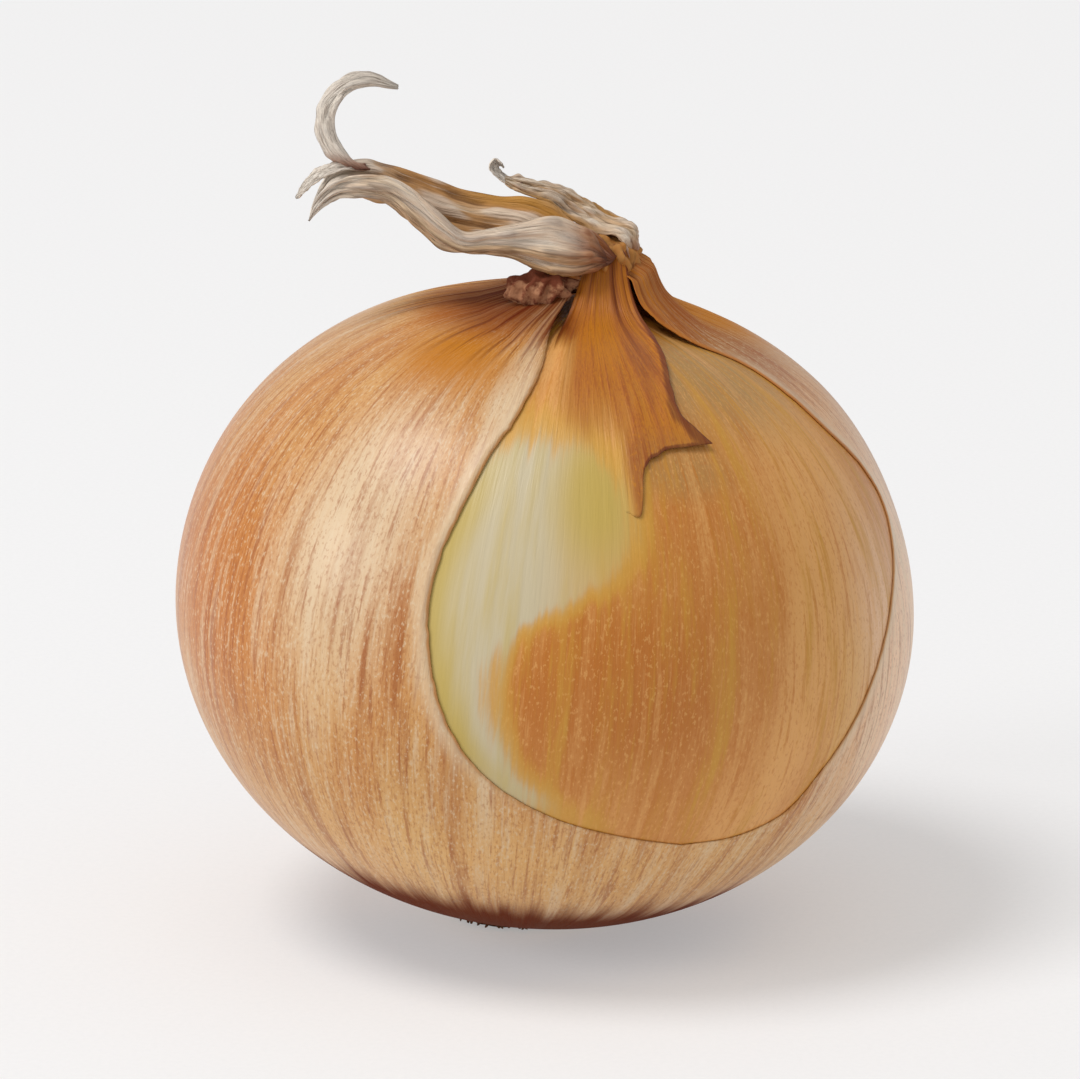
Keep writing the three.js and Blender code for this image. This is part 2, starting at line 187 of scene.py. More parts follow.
def spline(points, t):
    """A point at t, from 0 to 1, on the centripetal curve through the points."""
    last = len(points) - 1
    whole = min(int(t * last), last - 1)
    part = t * last - whole
    start, end = points[whole], points[whole + 1]
    before = points[whole - 1] if whole > 0 else start * 2 - end
    after = points[whole + 2] if whole + 2 <= last else end * 2 - start
    gaps = [max((b - a).length, 1e-9) ** 0.5 for a, b in ((before, start), (start, end), (end, after))]
    leave = (start - before) / gaps[0] - (end - before) / (gaps[0] + gaps[1]) + (end - start) / gaps[1]
    arrive = (end - start) / gaps[1] - (after - start) / (gaps[1] + gaps[2]) + (after - end) / gaps[2]
    leave, arrive = leave * gaps[1], arrive * gaps[1]
    square, cube = part * part, part ** 3
    return (
        start * (2 * cube - 3 * square + 1) + end * (3 * square - 2 * cube)
        + leave * (cube - 2 * square + part) + arrive * (cube - square)
    )


# How a layer turns up into the neck: its radius, its rise on the low and high side, and its flare's reach.
Neck = namedtuple("Neck", "radius low high spread")
BULB_NECK = Neck(3.8 * MM, 1.2 * MM, 4.2 * MM, 1.6 * MM)
SKIN_NECK = Neck(5.0 * MM, 2.2 * MM, 7.4 * MM, 2.2 * MM)
TORN_NECK = Neck(4.9 * MM, 4.2 * MM, 6.6 * MM, 1.9 * MM)
NECK_HIGH_SIDE = 110
LOWEST_LATITUDE = -76.5


class BulbShape:
    """Places on the bulb and its layers."""

    def __init__(self):
        bulb = bpy.context.scene.onion_bulb
        self.radius, self.half_height, self.centre = bulb.radius, bulb.half_height, bulb.centre
        self.fullness, self.neck_shift, self.neck_reach = bulb.fullness, bulb.neck_shift, bulb.neck_reach
        self.pleat_depth, self.pleat_reach = bulb.pleat_depth, bulb.pleat_reach
        self.cos_lean, self.sin_lean = math.cos(bulb.lean), math.sin(bulb.lean)

    def stand(self, x, y, z):
        """From the bulb's own frame, with its middle at the origin, to the part's frame."""
        z += self.centre
        return Vector((x * self.cos_lean + z * self.sin_lean, y, z * self.cos_lean - x * self.sin_lean))

    def ring_radius(self, latitude):
        return self.radius * max(math.cos(latitude * DEG), 0) ** (self.fullness if latitude > 0 else 1)

    def top_latitude(self, neck_radius):
        return math.acos((neck_radius / self.radius) ** (1 / self.fullness)) / DEG

    def at(self, azimuth, latitude, lift, neck, rise=0):
        turn = azimuth * DEG
        bare = self.ring_radius(latitude)
        height = (self.half_height + lift) * math.sin(latitude * DEG) + rise
        radius, shift = bare + lift, 0
        if latitude > 0:
            out = max(0, bare - neck.radius)
            high_side = 0.5 + 0.5 * math.cos((azimuth - NECK_HIGH_SIDE) * DEG)
            height += mix(neck.low, neck.high, high_side) * math.exp(-out / neck.spread)
            radius += self.pleat_depth * math.exp(-out / self.pleat_reach) * pleat(turn)
            shift = self.neck_shift * math.exp(-out / self.neck_reach)
        return self.stand(radius * math.sin(turn) + shift, -radius * math.cos(turn), height)


def pleat(turn):
    """Uneven lengthwise folds round the neck, from -1 to 1."""
    return (
        0.45 * math.cos(9 * turn) + 0.25 * math.cos(16 * turn + 1.1)
        + 0.18 * math.cos(27 * turn + 2.3) + 0.12 * math.cos(43 * turn + 0.7)
    )


def around(azimuth, latitude):
    """Where a point is on the bulb, for its material: right, front and up, without a seam."""
    return Vector((math.sin(azimuth * DEG), math.cos(azimuth * DEG), latitude * DEG))


class Border:
    """An edge on the bulb, through (azimuth, latitude) points with a rising latitude."""

    def __init__(self, points, samples=400):
        points = [Vector((azimuth, latitude, 0)) for azimuth, latitude in points]
        self.path = [spline(points, i / samples) for i in range(samples + 1)]
        self.latitudes = [p.y for p in self.path]

    def azimuth(self, latitude):
        if latitude <= self.latitudes[0]:
            return self.path[0].x
        if latitude >= self.latitudes[-1]:
            return self.path[-1].x
        after = bisect(self.latitudes, latitude)
        low, high = self.path[after - 1], self.path[after]
        return mix(low.x, high.x, (latitude - low.y) / max(high.y - low.y, 1e-9))


TEAR_FOOT, TEAR_BOTTOM = 27, -28.8
TEAR_LEFT = Border([
    (TEAR_FOOT, TEAR_BOTTOM), (15, -26), (4, -22.5), (-4, -18), (-10, -12.5), (-15, -4), (-18, 6),
    (-19.5, 16), (-19, 25), (-17, 35), (-15, 44), (-11.5, 54), (-10, 66), (-14, 77), (-18, 90),
])
TEAR_RIGHT = Border([
    (TEAR_FOOT, TEAR_BOTTOM), (39, -28), (48, -24), (52, -17), (57, -9), (61, -2), (66, 6), (71, 13),
    (77, 20), (82, 28), (80, 36), (74, 46), (72, 55), (69, 64), (58, 72), (47, 79), (41, 84), (40, 90),
])


def point_tree(points):
    tree = KDTree(len(points))
    for i, point in enumerate(points):
        tree.insert(point, i)
    tree.balance()
    return tree


class Wire:
    """A shader socket that takes part in Python sums: each sum adds its Math node."""

    def __init__(self, finish, socket):
        self.finish, self.socket = finish, socket

    def maths(self, operation, first, second=0.0):
        return self.finish.node("ShaderNodeMath", {"operation": operation}, {0: first, 1: second})

    def __add__(self, other):
        return self.maths("ADD", self, other)

    def __sub__(self, other):
        return self.maths("SUBTRACT", self, other)

    def __rsub__(self, other):
        return self.maths("SUBTRACT", other, self)

    def __mul__(self, other):
        return self.maths("MULTIPLY", self, other)

    def __pow__(self, other):
        return self.maths("POWER", self, other)

    __radd__, __rmul__ = __add__, __mul__


class Finish:
    """One procedural material and the nodes that make it."""

    def __init__(self, name, roughness=0.5, specular=0.5):
        self.material = bpy.data.materials.new(name)
        self.material.use_nodes = True
        self.tree = self.material.node_tree
        self.shader = self.tree.nodes["Principled BSDF"]
        self.shader.inputs["Roughness"].default_value = roughness
        self.shader.inputs["Specular IOR Level"].default_value = specular

    def node(self, kind, settings, sockets, output=0):
        made = self.tree.nodes.new(kind)
        for name, value in settings.items():
            setattr(made, name, value)
        for place, value in sockets.items():
            self.feed(made.inputs[place], value)
        return Wire(self, made.outputs[output])

    def feed(self, socket, value):
        if isinstance(value, Wire):
            self.tree.links.new(value.socket, socket)
        elif socket.type == "RGBA" and len(value) == 3:
            socket.default_value = (*value, 1)
        else:
            socket.default_value = value

    def set(self, **inputs):
        for name, value in inputs.items():
            self.feed(self.shader.inputs[name.replace("_", " ")], value)

    def attribute(self, name, output="Fac"):
        return self.node("ShaderNodeAttribute", {"attribute_name": name}, {}, output)

    def object_place(self):
        return self.node("ShaderNodeTexCoord", {}, {}, "Object")

    def split(self, vector):
        parts = self.node("ShaderNodeSeparateXYZ", {}, {0: vector}).socket.node.outputs
        return [Wire(self, part) for part in parts]

    def stretch(self, vector, *scale):
        return self.node("ShaderNodeVectorMath", {"operation": "MULTIPLY"}, {0: vector, 1: scale})

    def grain(self, vector, scale, detail=3.0, roughness=0.55):
        """Noise from 0 to 1, about 0.5."""
        values = {"Vector": vector, "Scale": scale, "Detail": detail, "Roughness": roughness}
        return self.node("ShaderNodeTexNoise", {}, values)

    def ramp(self, value, low, high):
        """0 where the value is low and 1 where it is high, easing in between."""
        settings = {"interpolation_type": "SMOOTHSTEP"}
        if low < high:
            return self.node("ShaderNodeMapRange", settings, {0: value, 1: low, 2: high, 3: 0.0, 4: 1.0})
        return self.node("ShaderNodeMapRange", settings, {0: value, 1: high, 2: low, 3: 1.0, 4: 0.0})

    def near(self, value, centre, width):
        """1 where the value is at the centre, falling to 0 at the width."""
        return self.ramp((value - centre) ** 2.0, width * width, 0.0)

    def paint(self, below, above, mask):
        """The colour above laid over the one below where the mask is 1."""
        return self.node("ShaderNodeMix", {"data_type": "RGBA"}, {0: mask, 6: below, 7: above}, 2)

    def relief(self, height, depth, below=None):
        sockets = {"Height": height, "Distance": depth, "Strength": 1.0}
        if below:
            sockets["Normal"] = below
        return self.node("ShaderNodeBump", {}, sockets)


class SkinFinish(Finish):
    """A skin of the bulb: lengthwise streaks at three widths, flecks and soft patches of colour."""

    def __init__(self, name, roughness, specular):
        super().__init__(name, roughness, specular)
        self.place = self.attribute("around", "Vector")
        self.side, self.front, self.up = self.split(self.place)
        self.broad = self.grain(self.stretch(self.place, 3.4, 3.4, 0.8), 1.0, 3.0)
        self.middle = self.grain(self.stretch(self.place, 14, 14, 1.4), 1.0, 4.0)
        self.narrow = self.grain(self.stretch(self.place, 60, 60, 3.6), 1.0, 3.0, 0.65)
        self.fleck = self.grain(self.stretch(self.place, 130, 130, 60), 1.0, 2.0)

    def spot(self, azimuth, latitude, width, height):
        """1 in the middle of a soft streaky patch on the bulb, with its half sizes in degrees."""
        across = self.side * math.cos(azimuth * DEG) - self.front * math.sin(azimuth * DEG)
        above = self.up - latitude * DEG
        squares = (across * (1 / (width * DEG))) ** 2.0 + (above * (1 / (height * DEG))) ** 2.0
        facing = self.side * math.sin(azimuth * DEG) + self.front * math.cos(azimuth * DEG)
        return self.ramp(squares ** 0.5 + self.middle * 0.9, 2.05, 0.75) * self.ramp(facing, 0.0, 0.2)

    def patches(self, base, settings, table):
        for name, azimuth, latitude, width, height, amount in table:
            mask = self.spot(azimuth, latitude, width, height) * amount
            base = self.paint(base, getattr(settings, name), mask)
        return base

    def streaks(self, base, dark, light, amount):
        """Dark and light lengthwise lines, and fine pale flecks."""
        base = self.paint(base, dark, self.ramp(self.middle, 0.5, 0.74) * (0.55 * amount))
        base = self.paint(base, light, self.ramp(self.middle, 0.48, 0.28) * (0.5 * amount))
        base = self.paint(base, dark, self.ramp(self.narrow, 0.5, 0.68) * (0.6 * amount))
        base = self.paint(base, light, self.ramp(self.narrow, 0.48, 0.3) * (0.45 * amount))
        base = self.paint(base, dark, self.ramp(self.fleck, 0.46, 0.32) * (0.4 * amount))
        return self.paint(base, light, self.ramp(self.fleck, 0.56, 0.68) * (0.55 * amount))

    def skin_relief(self, depth):
        return self.relief(self.middle, depth, self.relief(self.narrow, depth * 0.5))


def add_piece(name, bm, finish, node, thickness=0.0):
    """Makes the mesh a piece that rides on the onion and stands for that CAD node."""
    mesh = bpy.data.meshes.new(name)
    for face in bm.faces:
        face.smooth = True
    bm.to_mesh(mesh)
    bm.free()
    mesh.materials.append(finish.material)
    piece = bpy.data.objects.new(name, mesh)
    bpy.context.scene.collection.objects.link(piece)
    if thickness:
        wall = piece.modifiers.new("Wall", "SOLIDIFY")
        wall.thickness, wall.offset = thickness, 0
    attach(piece, "root")
    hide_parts(node)
    return piece


def grid(columns, rows, vectors=(), values=()):
    """A flat grid with the named attributes, and each vertex's place across and along it from 0 to 1."""
    bm = bmesh.new()
    layers = [bm.verts.layers.float_vector.new(name) for name in vectors]
    layers += [bm.verts.layers.float.new(name) for name in values]
    bmesh.ops.create_grid(bm, x_segments=columns, y_segments=rows, size=0.5)
    return bm, layers, [(vert, vert.co.x + 0.5, vert.co.y + 0.5) for vert in bm.verts]


# Soft patches of colour: name, azimuth, latitude, half width, half height and strength.
INNER_PATCHES = (
    ("orange", 8, 4, 22, 20, 0.95),
    ("orange", 22, 34, 14, 10, 0.4),
    ("olive", 52, 66, 34, 15, 0.95),
    ("olive", 24, 43, 11, 5, 0.6),
    ("rose", 67, 2, 11, 28, 0.95),
    ("gold", 56, -12, 6, 22, 0.5),
)


class InnerSkinFinish(SkinFinish):
    """The tight inner skin, with pale flesh showing through on the left."""

    def __init__(self, name, roughness=0.36):
        super().__init__(name, roughness, 0.3)
        bulb = bpy.context.scene.onion_bulb
        base = self.paint(bulb.amber, bulb.orange, self.ramp(self.broad, 0.38, 0.62) * 0.6)
        base = self.patches(base, bulb, INNER_PATCHES)
        base = self.streaks(base, bulb.orange, bulb.amber, 1.0)
        dark = self.paint(bulb.orange, bpy.context.scene.onion_skin.wine, 0.45)
        base = self.paint(base, dark, self.ramp(self.up + self.middle * 0.4, 1.42, 1.62))
        light = self.paint(bulb.pale, bulb.green, self.ramp(self.middle, 0.42, 0.7) * 0.5)
        light = self.paint(light, bulb.gold, self.ramp(self.side, -0.08, 0.16) * 0.6)
        light = self.paint(light, bulb.green, self.attribute("green_rim") * 0.85)
        light = self.paint(light, bulb.green, self.spot(6, 38, 7, 12) * 0.8)
        ragged = self.attribute("pale") + self.middle * 0.9 + self.narrow * 0.6
        self.flesh = self.paint(base, light, self.ramp(ragged, 0.85, 1.5))
        rim = self.ramp(ragged, 0.7, 1.0) * self.ramp(ragged, 1.4, 1.1)
        self.flesh = self.paint(self.flesh, bulb.gold, rim * 0.6)


class ONION_OT_add_bulb(bpy.types.Operator):
    """Add the fleshy bulb in its tight inner skin"""

    bl_idname = "onion.add_bulb"
    bl_label = "Add Bulb"

    def execute(self, context):
        shape = BulbShape()
        bm = bmesh.new()
        bmesh.ops.create_uvsphere(bm, u_segments=240, v_segments=180, radius=1)
        place_layer = bm.verts.layers.float_vector.new("around")
        pale_layer, green_layer = (bm.verts.layers.float.new(name) for name in ("pale", "green_rim"))
        for vert in bm.verts:
            azimuth = math.atan2(vert.co.x, -vert.co.y) / DEG
            latitude = math.asin(max(-1, min(1, vert.co.z))) / DEG
            vert[place_layer] = around(azimuth, latitude)
            vert[pale_layer] = pale_amount(azimuth, latitude)
            vert[green_layer] = green_rim(azimuth, latitude)
            vert.co = shape.at(azimuth, latitude, -0.04 * MM, BULB_NECK)
            if latitude < LOWEST_LATITUDE:
                floor = shape.half_height * math.sin(LOWEST_LATITUDE * DEG)
                radius, turn = shape.ring_radius(latitude), azimuth * DEG
                vert.co = shape.stand(radius * math.sin(turn), -radius * math.cos(turn), floor)
        bmesh.ops.remove_doubles(bm, verts=bm.verts, dist=1e-6)
        bmesh.ops.recalc_face_normals(bm, faces=bm.faces)
        finish = InnerSkinFinish("Onion inner skin")
        finish.set(Base_Color=finish.flesh, Normal=finish.skin_relief(0.12 * MM))
        add_piece("onion_bulb", bm, finish, "bulb")
        return {"FINISHED"}


# The soft border between the pale flesh and the orange skin, low on the left to high on the right.
PALE_BORDER = Border([
    (12, -25), (3, -18), (-3, -13.5), (-6.4, -8), (-8.6, -1), (-8.2, 6.4), (-5.6, 12), (1, 17.2),
    (8, 23), (12, 30), (12, 38), (10, 48), (6, 90),
])


def pale_amount(azimuth, latitude):
    """How far the flesh shows pale there: 1 well inside the patch left of the border, 0 well outside."""
    if latitude < -27 or abs(azimuth) > 60:
        return 0
    inside = (PALE_BORDER.azimuth(latitude) - azimuth) * math.cos(latitude * DEG)
    faint = mix(0.7, 1, smooth(latitude, -20, -8))
    return smooth(inside, -6, 6) * smooth(latitude, -28, -16) * smooth(latitude, 60, 36) * faint


def green_rim(azimuth, latitude):
    """How green the pale flesh is there: most along the torn skin's left edge."""
    if abs(azimuth) > 60:
        return 0
    beside = (azimuth - TEAR_LEFT.azimuth(latitude)) * math.cos(latitude * DEG)
    return smooth(beside, 5.5, 0.5) * smooth(latitude, -22, -8) * smooth(latitude, 60, 30)


OUTER_PATCHES = (
    ("orange", -66, 6, 20, 24, 0.9),
    ("orange", -96, 2, 20, 36, 0.75),
    ("gold", -92, -38, 20, 14, 0.4),
    ("orange", 140, 0, 46, 30, 0.7),
    ("orange", -140, 10, 40, 40, 0.7),
    ("straw", 0, -38, 60, 15, 0.6),
    ("straw", -85, -30, 16, 26, 0.5),
    ("straw", 70, -35, 14, 12, 0.6),
    # The cream patch at -36 is partly a painted highlight beside the real gloss, and the strip at -16 along
    # the ridge by the tear is partly a painted highlight over the skin's own pale edge.
    ("cream", -36, 24, 13, 26, 0.75),
    ("cream", -16, 62, 4, 12, 0.6),
    ("blush", 80, 5, 22, 46, 0.9),
    ("gold", 112, 55, 12, 24, 0.5),
    ("mauve", 74, 68, 26, 12, 0.7),
)
NECK_PATCHES = (
    ("gold", -38, 63, 17, 8, 0.85),
    ("rust", -64, 74, 44, 6, 0.7),
    ("wine", -52, 79, 40, 6, 0.5),
    ("rust", 62, 80, 30, 8, 0.6),
    ("gold", 104, 74, 14, 14, 0.7),
)


class ONION_OT_add_outer_skin(bpy.types.Operator):
    """Add the dry outer skin, torn open at the front"""

    bl_idname = "onion.add_outer_skin"
    bl_label = "Add Outer Skin"

    def execute(self, context):
        shape, skin = BulbShape(), context.scene.onion_skin
        top = shape.top_latitude(SKIN_NECK.radius)

        def edge_azimuths(latitude):
            if latitude <= TEAR_BOTTOM:
                return TEAR_FOOT, TEAR_FOOT
            reach = smooth(latitude, TEAR_BOTTOM, TEAR_BOTTOM + 8)
            per_length = reach / max(shape.ring_radius(latitude), 4 * MM) / DEG
            stray = [noise.noise(Vector((latitude * 0.45, seed, 0))) for seed in (3, 11)]
            nick = [noise.noise(Vector((latitude * 1.6, seed, 5))) ** 3 for seed in (7, 15)]
            left, right = (s * skin.raggedness + n * 0.5 * MM for s, n in zip(stray, nick))
            return (
                TEAR_LEFT.azimuth(latitude) + left * per_length,
                TEAR_RIGHT.azimuth(latitude) + right * per_length,
            )

        def latitude_of_row(v):
            if v < 0.24:
                return mix(LOWEST_LATITUDE, TEAR_BOTTOM, v / 0.24)
            if v < 0.66:
                return mix(TEAR_BOTTOM, 40, ((v - 0.24) / 0.42) ** 2)
            return mix(40, top, 1 - (1 - (v - 0.66) / 0.34) ** 1.7)

        borders = []
        for border in (TEAR_LEFT, TEAR_RIGHT):
            spots = [p for p in border.path if p.y < top]
            borders.append(point_tree([shape.at(p.x, p.y, skin.lift, SKIN_NECK) for p in spots]))
        bm, (place_layer, edge_layer), verts = grid(180, 160, ["around"], ["edge"])
        for vert, u, v in verts:
            latitude = latitude_of_row(v)
            left, right = edge_azimuths(latitude)
            azimuth = mix(right, left + 360, u)
            vert[place_layer] = around(azimuth, latitude)
            rise = 0.9 * MM * noise.noise(around(azimuth, 0) * 3.1) * smooth(latitude, 78, top)
            flat = shape.at(azimuth, latitude, skin.lift, SKIN_NECK, rise)
            to_left, to_right = (tree.find(flat)[2] for tree in borders)
            vert[edge_layer] = min(to_left, to_right) / MM
            calm = 1 - smooth(latitude, 68, 80)
            away = smooth(min(to_left, to_right), 0, 14 * MM)
            free_edge = smooth(latitude, -26, 10) * smooth(to_left, 9 * MM, 5 * MM)
            edge_lift = skin.edge_lift * mix(0.5, 1, free_edge)
            lift = mix(edge_lift, skin.lift, max(away, 1 - calm))
            curl = skin.edge_curl * math.exp(-to_left / (1.3 * MM)) * smooth(latitude, -24, 0) * calm
            curl -= 1.3 * MM * smooth(latitude, 83, top)
            vert.co = shape.at(azimuth, latitude, lift + curl, SKIN_NECK, rise)
        bmesh.ops.remove_doubles(bm, verts=bm.verts, dist=1e-6)
        finish = SkinFinish("Onion outer skin", 0.4, 0.06)
        ramp, paint, up, side = finish.ramp, finish.paint, finish.up, finish.side
        base = paint(skin.tan, skin.orange, ramp(finish.broad, 0.36, 0.64) * 0.5)
        base = finish.patches(base, skin, OUTER_PATCHES)
        base = finish.streaks(base, skin.rust, skin.cream, 0.95)
        base = finish.patches(base, skin, NECK_PATCHES)
        at_neck = ramp(up, 1.12, 1.34) * ramp(side, -0.1, 0.5)
        furrow = finish.grain(finish.stretch(finish.place, 24, 24, 2), 1.0, 2.0)
        base = paint(base, skin.rust, ramp(furrow, 0.52, 0.6) * at_neck * 0.7)
        base = paint(base, skin.gold, ramp(furrow, 0.46, 0.38) * at_neck * 0.5)
        left_of_neck = ramp(up, 1.02, 1.26) * ramp(side, 0.1, -0.3)
        base = paint(base, skin.wine, ramp(furrow, 0.5, 0.64) * left_of_neck * 0.6)
        top = ramp(up + finish.middle * 0.5, 1.5, 1.72) * ramp(side, 0.75, 0.1)
        base = paint(base, skin.wine, top * 0.9)
        # Painted shade low on the bulb: streaky rust, then a wine band round the lower side that fades again
        # on the underside and is strongest on the -Y side.
        below = ramp(up - finish.middle * 0.3, -0.92, -1.12)
        base = paint(base, skin.rust, below * (finish.middle * 0.8 + 0.05))
        contact_shade = ramp(up + finish.narrow * 0.4, -1.3, -1.0)
        contact_shade = contact_shade * (ramp(finish.front, -0.4, 0.4) * 0.65 + 0.25)
        base = paint(base, skin.wine, below * contact_shade)
        shrivelled = ramp(up, 1.0, 1.24)
        edge = finish.attribute("edge")
        up_the_side = ramp(up, -0.42, -0.1) * ramp(up, 1.3, 1.0)
        base = paint(base, skin.cream, ramp(edge, 2.6, 0.6) * up_the_side * 0.6)
        base = paint(base, skin.gold, ramp(edge, 0.45, 0.15) * up_the_side * 0.7)
        upper_right = ramp(side, 0.5, 0.8) * ramp(up, 0.3, 0.6)
        base = paint(base, skin.orange, ramp(edge, 1.0, 0.3) * upper_right * 0.7)
        gloss = (1 - below) * (1 - shrivelled)
        finish.set(Base_Color=base, Coat_Weight=gloss * 0.6, Normal=finish.skin_relief(0.2 * MM))
        finish.set(Roughness=0.75 - gloss * 0.35, Coat_Roughness=0.34)
        add_piece("onion_outer_skin", bm, finish, "outer_skin", skin.thickness)
        return {"FINISHED"}


def flat_points(*places):
    return [Vector((azimuth, latitude, 0)) for azimuth, latitude in places]


FLAP_LEFT = flat_points((-10, 90), (-10, 77), (-7.5, 66), (-9, 55), (-12, 49))
FLAP_RIGHT = flat_points((43, 90), (42, 80), (37, 72), (30, 62), (28, 55), (32.6, 48))
FLAP_HEM = flat_points(
    (-12, 49), (-7, 45.5), (-1, 42), (6, 39.5), (11, 36), (14, 34.5), (16, 43.5), (21, 47), (32.6, 48)
)


class ONION_OT_add_torn_flap(bpy.types.Operator):
    """Add the torn flap of the next skin, on the front of the bulb below the neck"""

    bl_idname = "onion.add_torn_flap"
    bl_label = "Add Torn Flap"

    def execute(self, context):
        shape, skin = BulbShape(), context.scene.onion_skin
        top = shape.top_latitude(TORN_NECK.radius)
        bm, layers, verts = grid(130, 130, ["around"], ["rim", "cover", "pale", "green_rim"])
        place_layer, rim_layer, cover_layer, pale_layer, green_layer = layers
        for vert, u, v in verts:
            down = 1 - v
            place = spline(FLAP_LEFT, down).lerp(spline(FLAP_RIGHT, down), u)
            corner = FLAP_LEFT[-1].lerp(FLAP_RIGHT[-1], u)
            place += (spline(FLAP_HEM, u) - corner) * down ** 3
            place.x += 0.5 * noise.noise(Vector((v * 14, 2, 0))) * smooth(u, 0.8, 1)
            place.y += 0.6 * noise.noise(Vector((u * 22, 9, 0))) * smooth(v, 0.1, 0)
            azimuth, latitude = place.x, min(place.y, top)
            free = smooth(u, 0.48, 0.74)
            lift = 0.24 + 0.2 * smooth(u, 0.9, 1) + 0.1 * smooth(latitude, 60, 75)
            lift = mix(-0.1, lift, smooth(v, 0.05, 0.6) * (1 - free) + free)
            lift = mix(-0.1, lift, max(smooth(u, 0, 0.1), smooth(v, 0.75, 0.9)))
            vert[place_layer] = around(azimuth, latitude)
            vert[rim_layer] = max(smooth(u, 0.91, 1), smooth(v, 0.04, 0) * free)
            sunken = max(smooth(u, 0.02, 0.3), smooth(v, 0.5, 0.8))
            vert[cover_layer] = max(smooth(v, 0.02, 0.6), free * 0.8) * sunken
            vert[pale_layer] = pale_amount(azimuth, latitude)
            vert[green_layer] = green_rim(azimuth, latitude)
            closing = smooth(v, 0.82, 1)
            vert.co = shape.at(azimuth, latitude, (lift - 1.5 * closing) * MM, TORN_NECK, 2.4 * MM * closing)
        finish = InnerSkinFinish("Onion torn flap", roughness=0.42)
        ramp, paint, up = finish.ramp, finish.paint, finish.up
        dry = paint(skin.gold, skin.orange, ramp(finish.middle, 0.4, 0.6) * 0.8)
        dry = paint(dry, skin.rust, ramp(up, 0.84, 1.15) * 0.28 + 0.1)
        hem = ramp(up, 0.94, 0.76) * 0.5
        dry = paint(dry, context.scene.onion_bulb.olive, hem)
        dry = paint(dry, skin.rust, hem * 0.6)
        dry = paint(dry, skin.gold, finish.spot(12, 74, 9, 7) * 0.6)
        dry = finish.streaks(dry, skin.rust, skin.gold, 1.2)
        high = ramp(up, 0.95, 1.15)
        dry = paint(dry, skin.wine, ramp(finish.middle, 0.52, 0.68) * high * 0.4)
        dry = paint(dry, skin.wine, ramp(up + finish.middle * 0.4, 1.6, 1.8) * 0.6)
        # A dark wine spot at the flap's top left corner: painted shade in the pit under the neck stub, over
        # the skin's own dark red.
        dry = paint(dry, skin.wine, finish.spot(-10, 76, 8, 6) * 0.8)
        rim = ramp(finish.attribute("rim") + finish.narrow * 0.6, 0.7, 1.1)
        dry = paint(dry, skin.wine, rim * 0.75)
        cover = finish.attribute("cover") + finish.middle * 0.8 + finish.narrow * 0.4
        fringe = paint(context.scene.onion_bulb.olive, skin.gold, 0.6)
        base = paint(finish.flesh, fringe, ramp(cover, 0.68, 1.15) * 0.75)
        base = paint(base, dry, ramp(cover, 0.8, 1.5))
        finish.set(Base_Color=base, Normal=finish.skin_relief(0.2 * MM))
        add_piece("onion_torn_flap", bm, finish, "torn_skin", skin.flap_thickness)
        return {"FINISHED"}


# Guide lines of each dried blade in millimetres, from neck to tip: front edge, bottom of the fold, back edge.
LONG_BLADE = (
    ((9.4, -4.6, 74.6), (7.9, -5.6, 77.1), (6.3, -6.2, 78.2), (3.9, -6.8, 79.1), (0.2, -7, 78.4),
     (-2.9, -6.8, 77.7), (-5.4, -6.4, 77.4), (-8.3, -5.8, 79.6), (-11, -5.2, 81.7), (-13.7, -4.6, 82.9),
     (-16.7, -4.2, 82.9), (-19.1, -4, 82.3), (-21.1, -3.8, 80.5), (-21.9, -3.5, 78.2)),
    ((9.8, -5, 73.6), (8.1, -6.4, 73.2), (6.1, -6.9, 72.8), (3, -6.6, 73.2), (-0.2, -6, 74.6),
     (-2.9, -5.4, 75.2), (-5.6, -5, 75.3), (-8.1, -4.8, 75.8), (-10.5, -4.5, 77.6), (-13.4, -4, 80),
     (-16.7, -3.6, 80.7), (-19.3, -3.4, 80.3), (-20.8, -3.4, 79.2), (-22, -3.4, 77.8)),
    ((10.6, -4.2, 74.2), (8.4, -3.4, 76.5), (6.3, -2.4, 77.4), (3.8, -1.6, 79.2), (0.9, -1.2, 80),
     (-2.1, -1, 80.1), (-5.6, -1, 80.8), (-8.8, -1, 81.9), (-11.8, -1, 83), (-14.2, -1, 83.7),
     (-16.7, -1.2, 84), (-19.3, -2, 83.3), (-20.8, -2.8, 81.4), (-21.8, -3.2, 78.5)),
)
SHORT_WISP = (
    ((-15.7, -2.6, 83.2), (-18.6, -2.8, 83.1), (-21.1, -2.6, 81.9), (-23.1, -2.2, 80)),
    ((-15.9, -2, 83.6), (-18.8, -2.1, 83.7), (-21.5, -2, 82.4), (-23.4, -1.9, 79.9)),
    ((-15.9, -1.2, 83.8), (-18.9, -1.3, 83.8), (-21.6, -1.3, 82.5), (-23.3, -1.6, 80.2)),
)
CURLED_WISP = (
    ((-15.4, -2.4, 83.2), (-17.4, -2.4, 84.5), (-19, -2, 87.1), (-19, -1.6, 89.5), (-17.8, -1, 91),
     (-15.7, 0, 91.6), (-12.4, 1.2, 91.1)),
    ((-16.7, -2.8, 83.3), (-18.9, -2.8, 84.8), (-20.3, -2.3, 87.3), (-20.2, -1.8, 90), (-18.4, -1, 91.9),
     (-15.7, 0, 92.5), (-12.4, 1.3, 91.3)),
    ((-18, -1.6, 83.2), (-20, -1.6, 84.7), (-21.1, -1.4, 87.2), (-20.9, -0.8, 90), (-18.7, 0, 92.4),
     (-15.7, 0.8, 93), (-12.4, 1.6, 91.4)),
)
